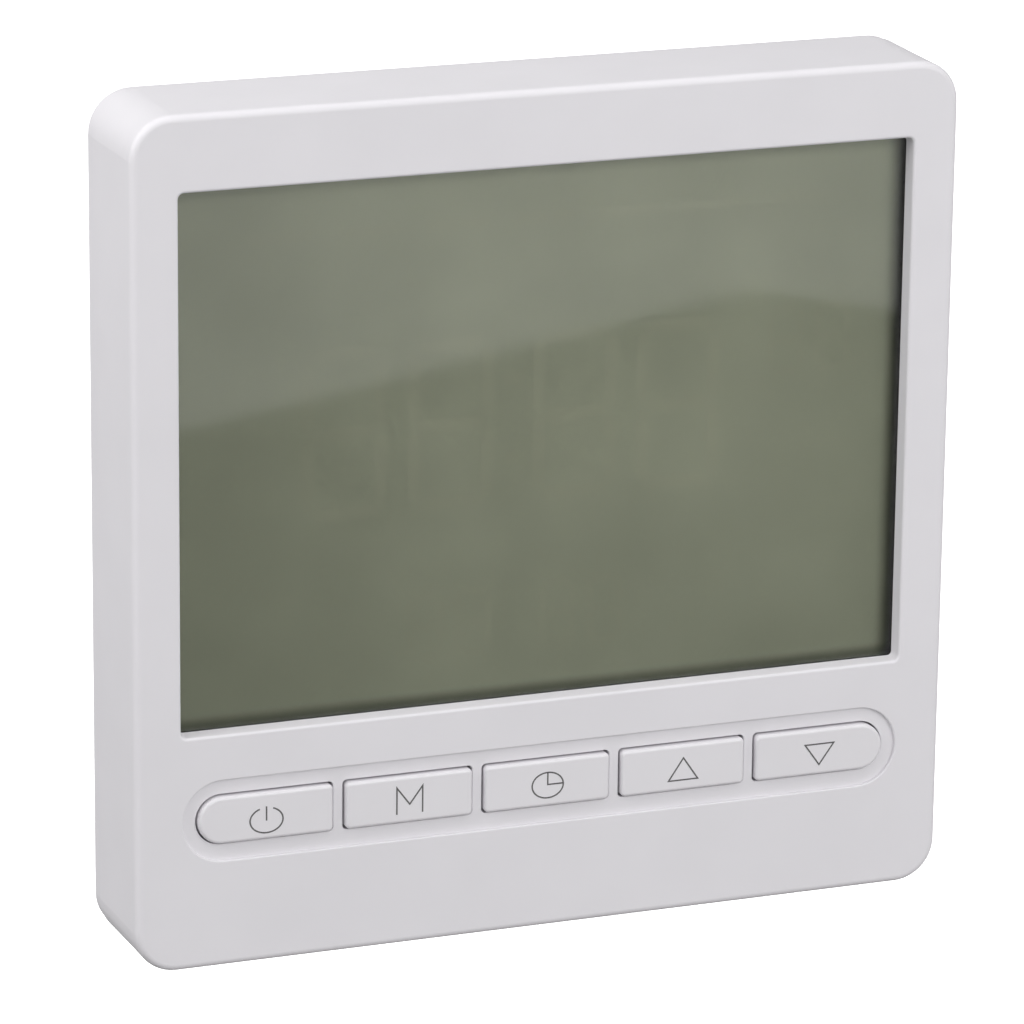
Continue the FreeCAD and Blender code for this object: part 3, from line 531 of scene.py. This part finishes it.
def chip_ends():
    """A tinned cap on each end of every small chip."""
    mesh = bmesh.new()
    low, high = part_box("chip_parts")
    columns, rows, length, width, cap, lift = 6, 3, 1.6 * MM, 0.8 * MM, 0.3 * MM, 0.03 * MM
    for column in range(columns):
        for row in range(rows):
            middle = low.x + length / 2 + column * (high.x - low.x - length) / (columns - 1)
            rise = low.z + width / 2 + row * (high.z - low.z - width) / (rows - 1)
            for side in (-1, 1):
                inner, outer = middle + side * (length / 2 - cap), middle + side * (length / 2 + lift)
                add_block(mesh, (min(inner, outer), low.y, rise - width / 2 - lift),
                          (max(inner, outer), high.y + lift, rise + width / 2 + lift))
    return mesh


piece("chip_end_caps", chip_ends(), "face_unit", tin)


def solder_joints():
    """Where leads of the parts on the board's front come through: switches, lamps and room sensor."""
    pin_across, pin_upright, lamp_leg, sensor_leg = 3.25 * MM, 2.25 * MM, 1.27 * MM, 0.8 * MM
    lamp_size = 3.0 * MM
    places = []
    for node in SYMBOLS:
        low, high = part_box(node)
        middle = (low.x + high.x) / 2
        places += [(middle + x * pin_across, SYMBOL_ROW + z * pin_upright) for x in (-1, 1) for z in (-1, 1)]
    low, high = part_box("backlight_leds")
    lamp_pitch = (high.z - low.z - lamp_size) / 2
    for at in range(3):
        lamp = low.z + lamp_size / 2 + at * lamp_pitch
        places += [((low.x + high.x) / 2, lamp + side * lamp_leg) for side in (-1, 1)]
    low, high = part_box("room_sensor")
    places += [(side * sensor_leg, (low.z + high.z) / 2) for side in (-1, 1)]
    fillet = ((0, 0), (0.85, 0), (0.80, 0.10), (0.55, 0.32), (0.34, 0.62), (0.30, 0.85), (0.20, 0.95),
              (0, 0.98))
    profile = [(radius * MM, BOARD_REAR + y * MM) for radius, y in fillet]
    mesh = bmesh.new()
    for place in places:
        add_turned(mesh, place, profile)
    return mesh


piece("solder_joints", solder_joints(), "face_unit", tin, True)


def square_route(start, end, level):
    """Up from start to a level, along it, and up to end, with cut corners. Points are (x, z)."""
    corner = 0.5 * MM
    way = 1 if end[0] > start[0] else -1
    rise_in, rise_out = (1 if level > start[1] else -1), (1 if end[1] > level else -1)
    return [start, (start[0], level - rise_in * corner), (start[0] + way * corner, level),
            (end[0] - way * corner, level), (end[0], level + rise_out * corner), end]


def plug_routes():
    """From the top of the controller to the header's pins."""
    routes = []
    for at in range(6):
        start = (chip_x + (at - 2.5) * 2 * LEAD_PITCH + LEAD_PITCH / 2, chip_high.z + LEAD_END)
        end = (plug_low.x + 1.35 * MM + at * 2.54 * MM, plug_low.z + 0.3 * MM)
        routes.append(square_route(start, end, plug_low.z - 1.6 * MM - at * TRACK_GAP))
    return routes


def key_routes():
    """From the left of the controller down to the keys."""
    routes = []
    for at in range(10):
        start = (chip_low.x - LEAD_END, chip_z + (at - 4.5) * LEAD_PITCH)
        turn = chip_low.x - 3.0 * MM - at * TRACK_GAP
        routes.append([start, (turn + 0.5 * MM, start[1]), (turn, start[1] - 0.5 * MM),
                       (turn, SYMBOL_ROW + 4.6 * MM)])
    return routes


def memory_routes():
    """From the right of the controller to the memory chip."""
    low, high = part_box("memory_chip")
    routes = []
    for at in range(4):
        start = (chip_high.x + LEAD_END, chip_z + (at - 4.5) * LEAD_PITCH)
        end = (low.x - 0.9 * MM, (low.z + high.z) / 2 + (at - 1.5) * 0.95 * MM)
        turn = chip_high.x + (3.0 + 0.35 * at) * MM
        routes.append([start, (turn, start[1]), (turn + start[1] - end[1], end[1]), end])
    return routes


def crystal_routes():
    """A pair from the foot of the controller to the clock crystal."""
    routes = []
    for side in (-1, 1):
        x, far = chip_x + side * 0.5 * LEAD_PITCH, chip_x + side * 3.9 * MM
        level, cut = chip_low.z - 1.9 * MM, 0.4 * MM
        routes.append([(x, chip_low.z - LEAD_END), (x, level + cut), (x + side * cut, level),
                       (far - side * cut, level), (far, level - cut), (far, chip_low.z - 4.6 * MM)])
    return routes


def cell_routes():
    """From the header to the backup cell."""
    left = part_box("cell_clip")[0].x
    routes = []
    for at, level in enumerate((12.0 * MM, 12.8 * MM, 13.6 * MM)):
        x = left + 2.0 * MM + at * 5.0 * MM
        row = plug_low.z + (1.4 + at) * MM
        routes.append([(plug_high.x + 0.2 * MM, row), (x - 4.0 * MM + at * 0.3 * MM, row), (x, level),
                       (x, 4.4 * MM)])
    return routes


def copper_tracks():
    """Tracks under the solder mask, each ending in a round pad."""
    routes = plug_routes() + key_routes() + memory_routes() + crystal_routes() + cell_routes()
    mesh = bmesh.new()
    pad_top = BOARD_REAR + 0.05 * MM
    pad = ((0, BOARD_REAR), (0.45 * MM, BOARD_REAR), (0.42 * MM, pad_top), (0, pad_top))
    for route in routes:
        add_stroke(mesh, route, 0.28 * MM, -0.01 * MM, 0.035 * MM, on_board)
        add_turned(mesh, route[-1], pad, 12)
    return mesh


masked_copper = moulded("masked_copper", (0.030, 0.215, 0.085), 0.30, 1.0, 0.004, 0.05)
piece("board_tracks", copper_tracks(), "face_unit", masked_copper)


def outline_print():
    """White outlines round the parts, without any lettering."""
    mesh = bmesh.new()
    for node, room in (("controller_chip", 1.5), ("memory_chip", 1.4), ("clock_crystal", 1.1),
                       ("cell_clip", 0.6), ("board_header", 0.5)):
        low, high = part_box(node)
        left, right, foot, top = low.x - room * MM, high.x + room * MM, low.z - room * MM, high.z + room * MM
        corner = 0.8 * MM
        outline = [(left + corner, foot), (right, foot), (right, top), (left, top), (left, foot + corner)]
        add_stroke(mesh, outline, *OUTLINE, on_board, True)
    low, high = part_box("backup_cell")
    radius = (high.x - low.x) / 2 + 0.5 * MM
    circle = arc(((low.x + high.x) / 2, (low.z + high.z) / 2), radius, radius, 0, 354, 59)
    add_stroke(mesh, circle, *OUTLINE, on_board, True)
    return mesh


screen_print = moulded("white_print", (0.72, 0.72, 0.70), 0.5, 0.3, 0.002, 0.04)
piece("board_outlines", outline_print(), "face_unit", screen_print)


# ---------------------------------------------------------------- rear unit: label, numbers and small marks

DIGITS = {
    1: [[(0.10, 0.76), (0.34, 1.0), (0.34, 0.0)]],
    2: [arc((0.31, 0.70), 0.29, 0.30, 165, -38, 14) + [(0.02, 0.0), (0.62, 0.0)]],
    3: [arc((0.29, 0.755), 0.26, 0.245, 150, -90, 14), arc((0.29, 0.26), 0.30, 0.26, 90, -150, 14)],
    4: [[(0.46, 0.0), (0.46, 1.0), (0.0, 0.30), (0.62, 0.30)]],
    5: [[(0.56, 1.0), (0.10, 1.0), (0.06, 0.56)] + arc((0.28, 0.33), 0.31, 0.33, 118, -150, 14)],
}


def on_rear(y):
    """A map for marks read from behind the timer: u runs to the reader's right, which is -X."""
    return lambda u, v, w: (-u, y + w, v)


def add_digit(mesh, number, centre, height, put):
    """One printed number, drawn as strokes."""
    for line in DIGITS[number]:
        points = [(centre[0] + (u - 0.31) * height, centre[1] + (v - 0.5) * height) for u, v in line]
        add_stroke(mesh, points, 0.13 * height, -0.02 * MM, 0.03 * MM, put)


def terminal_numbers():
    """One number below each terminal screw, counted from the left as seen from behind."""
    mesh = bmesh.new()
    low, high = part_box("terminal_body")
    for number in DIGITS:
        screw_low, screw_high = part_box(f"terminal_screw_{number}")
        middle = -(screw_low.x + screw_high.x) / 2
        add_digit(mesh, 6 - number, (middle, low.z + 1.15 * MM), 1.5 * MM, on_rear(high.y))
    return mesh


print_on_green = moulded("print_on_terminals", (0.74, 0.74, 0.72), 0.5, 0.3, 0.002, 0.04)
piece("terminal_numbers", terminal_numbers(), "rear_unit", print_on_green)


def rounded(width, height, corner, centre):
    """A rectangle with rounded corners."""
    points = []
    for turn, (side, rise) in enumerate(((1, 1), (-1, 1), (-1, -1), (1, -1))):
        middle = (centre[0] + side * (width / 2 - corner), centre[1] + rise * (height / 2 - corner))
        points += arc(middle, corner, corner, 90 * turn, 90 * turn + 90, 6)
    return points


mesh = bmesh.new()
add_prism(mesh, rounded(33.2 * MM, 21.2 * MM, 0.8 * MM, (0, LABEL_MIDDLE)), -0.32 * MM, -0.14 * MM,
          on_rear(HOUSING_REAR))
label_film = moulded("label_film", (0.66, 0.67, 0.68), 0.32, 2.0, 0.004, 0.015)
piece("blank_label", mesh, "rear_unit", label_film)


def label_drawing():
    """A border and a plain wiring diagram: five numbered boxes, a supply, a switched contact and a load."""
    mesh = bmesh.new()
    put = on_rear(HOUSING_REAR - 0.14 * MM)
    print_depth = (-0.01 * MM, 0.02 * MM)

    def line(points, closed=False):
        places = [(x * MM, LABEL_MIDDLE + z * MM) for x, z in points]
        add_stroke(mesh, places, 0.18 * MM, *print_depth, put, closed)

    border = rounded(31.6 * MM, 19.6 * MM, 0.6 * MM, (0, LABEL_MIDDLE))
    add_stroke(mesh, border, 0.2 * MM, *print_depth, put, True)
    pitch, foot, top = 4.6, -7.6, -4.2
    for number in DIGITS:
        middle = (number - 3) * pitch
        line([(middle - 1.7, foot), (middle + 1.7, foot), (middle + 1.7, top), (middle - 1.7, top)], True)
        add_digit(mesh, number, (middle * MM, LABEL_MIDDLE + (foot + top) / 2 * MM), 1.9 * MM, put)
    line(arc((-1.5 * pitch, 4.2), 1.5, 1.5, 0, 350, 35), True)
    line([(-2 * pitch, top), (-2 * pitch, 4.2), (-1.5 * pitch - 1.5, 4.2)])
    line([(-pitch, top), (-pitch, 4.2), (-1.5 * pitch + 1.5, 4.2)])
    line([(0, top), (0, 0.5), (1.5, 3.4)])
    line([(0, 3.9), (0, 6.2), (pitch, 6.2), (pitch, top)])
    line(arc((1.5 * pitch, 1.2), 1.5, 1.5, 0, 350, 35), True)
    line([(pitch + 0.09, 1.2), (1.5 * pitch - 1.5, 1.2)])
    line([(1.5 * pitch + 1.5, 1.2), (2 * pitch, 1.2), (2 * pitch, top)])
    return mesh


label_ink = moulded("label_ink", (0.05, 0.05, 0.055), 0.5, 0.3, 0.002, 0.1)
piece("label_diagram", label_drawing(), "rear_unit", label_ink)


def can_tops():
    """Bare aluminium ends of the two capacitors."""
    mesh = bmesh.new()
    for node in ("bulk_capacitor", "output_capacitor"):
        low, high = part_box(node)
        centre = ((low.x + high.x) / 2, (low.z + high.z) / 2)
        radius = (high.x - low.x) / 2 - 0.75 * MM
        foot, top = high.y - 0.05 * MM, high.y + 0.03 * MM
        add_turned(mesh, centre, ((0, foot), (radius, foot), (radius, top), (0, top)), 40)
    return mesh


piece("capacitor_tops", can_tops(), "rear_unit", LOOKS["bright_can"])


# ---------------------------------------------------------------- stage, light and camera

WHITE = (1.0, 1.0, 1.0, 1.0)
FLOOR_DROP = 0.75
ROOM_FRONT, ROOM_REAR = 0.52, 0.375
FLOOR_SHADE = 0.25
# The room has a panel that is bright above an edge and dark below it. The display mirrors it, and there the
# edge runs through these points, x and z in millimetres. The rim is where the panel fades into the room, as
# cosines of the angle from its middle.
PANEL_BENDS = ((-38.0, 11.5), (21.6, 20.8), (36.0, 17.7))
PANEL_DARK, PANEL_BRIGHT = 0.05, 0.92
PANEL_RIM = (0.93, 0.985)
LEFT_SOFTNESS, RIGHT_SOFTNESS = 0.0016, 0.0008
TILT, SWING, ROLL = 0.2870, 0.3697, 0.0110
AIM = Vector((-0.994 * MM, 588.29 * MM, 3.174 * MM))
LENS = 206.45


def studio_camera():
    """A long lens above and to the left of the timer. AIM is the frame's origin as the camera sees it."""
    turn = Matrix.Rotation(ROLL, 3, "Y") @ Matrix.Rotation(TILT, 3, "X") @ Matrix.Rotation(SWING, 3, "Z")
    right, ahead, up = turn
    data = bpy.data.cameras.new("camera")
    data.lens = LENS
    made = bpy.data.objects.new("camera", data)
    place = -(turn.transposed() @ AIM)
    axes = Matrix((right, up, -ahead)).transposed()
    made.matrix_world = Matrix.Translation(place) @ axes.to_4x4()
    bpy.context.scene.collection.objects.link(made)
    bpy.context.scene.camera = made
    return place


def softbox(name, place, width, height, power):
    """A soft rectangular light aimed at the timer."""
    data = bpy.data.lights.new(name, "AREA")
    data.shape = "RECTANGLE"
    data.size, data.size_y = width, height
    data.energy = power
    made = bpy.data.objects.new(name, data)
    made.location = place
    made.rotation_euler = (-Vector(place)).to_track_quat("-Z", "Y").to_euler()
    bpy.context.scene.collection.objects.link(made)


def studio_floor():
    """A wide white sweep well below the timer, which only the camera sees."""
    mesh = bmesh.new()
    reach = 6.0
    outline = ((-reach, -reach), (reach, -reach), (reach, reach), (-reach, reach))
    mesh.faces.new([mesh.verts.new((x, y, -FLOOR_DROP)) for x, y in outline])
    data = bpy.data.meshes.new("floor")
    mesh.to_mesh(data)
    mesh.free()
    made = bpy.data.objects.new("floor", data)
    bpy.context.scene.collection.objects.link(made)
    look = Look("pale_floor")
    shade = look.tones(look.noise(400.0), (0.86, 0.86, 0.86), 0.01)
    data.materials.append(look.finish(Base_Color=shade, Roughness=0.9, Emission_Color=WHITE,
                                      Emission_Strength=1.5))
    made.visible_diffuse = made.visible_glossy = made.visible_transmission = False


def mirrored(eye, x, z):
    """The direction in which the display mirrors a line of sight from eye at a point of its face."""
    behind = Vector((eye.x, 2 * DISPLAY_FACE - eye.y, eye.z))
    return (Vector((x, DISPLAY_FACE, z)) - behind).normalized()


def above_edge(tree, way, first, second, softness):
    """1 where a direction lies above the plane through two others, 0 below it."""
    normal = second.cross(first).normalized()
    normal *= 1 if normal.z > 0 else -1
    height = add_node(tree, "ShaderNodeVectorMath", {"operation": "DOT_PRODUCT"}, i0=way, i1=normal)
    return map_range(tree, height.outputs["Value"], -softness, softness, smooth=True)


def studio_room(eye):
    """A white room, shaded low down, with the two-tone panel that the display mirrors."""
    world = bpy.data.worlds.new("studio")
    world.use_nodes = True
    tree = world.node_tree
    tree.nodes.clear()
    way = add_node(tree, "ShaderNodeTexCoord").outputs["Generated"]
    left, peak, right = (mirrored(eye, x * MM, z * MM) for x, z in PANEL_BENDS)
    above_left = above_edge(tree, way, left, peak, LEFT_SOFTNESS)
    above_right = above_edge(tree, way, peak, right, RIGHT_SOFTNESS)
    above = add_node(tree, "ShaderNodeMath", {"operation": "MAXIMUM"}, i0=above_left, i1=above_right)
    panel = map_range(tree, above.outputs["Value"], start=PANEL_DARK, end=PANEL_BRIGHT)
    nearness = add_node(tree, "ShaderNodeVectorMath", {"operation": "DOT_PRODUCT"}, i0=way, i1=peak)
    inside = map_range(tree, nearness.outputs["Value"], *PANEL_RIM, smooth=True)
    split = add_node(tree, "ShaderNodeSeparateXYZ", i0=way)
    walls = map_range(tree, split.outputs["Y"], -0.3, 0.3, ROOM_FRONT, ROOM_REAR)
    low_down = map_range(tree, split.outputs["Z"], -0.8, -0.2, FLOOR_SHADE, smooth=True)
    shaded = add_node(tree, "ShaderNodeMath", {"operation": "MULTIPLY"}, i0=walls, i1=low_down)
    level = map_range(tree, inside, start=shaded.outputs["Value"], end=panel)
    room = add_node(tree, "ShaderNodeBackground", Color=WHITE, Strength=level)
    backdrop = add_node(tree, "ShaderNodeBackground", Color=WHITE, Strength=1.0)
    seen = add_node(tree, "ShaderNodeLightPath").outputs["Is Camera Ray"]
    both = add_node(tree, "ShaderNodeMixShader", i0=seen, i1=room.outputs["Background"],
                    i2=backdrop.outputs["Background"])
    add_node(tree, "ShaderNodeOutputWorld", Surface=both.outputs["Shader"])
    bpy.context.scene.world = world


eye = studio_camera()
studio_room(eye)
studio_floor()
softbox("top_light", (0.0, -0.16, 0.36), 0.5, 0.3, 0.24)
softbox("left_light", (-0.42, -0.02, 0.32), 0.35, 0.35, 1.60)
softbox("front_light", (0.25, -0.60, 0.22), 0.5, 0.5, 1.80)
softbox("rear_light", (0.28, 0.62, -0.30), 0.4, 0.4, 2.0)
bpy.context.scene.view_settings.view_transform = "Standard"
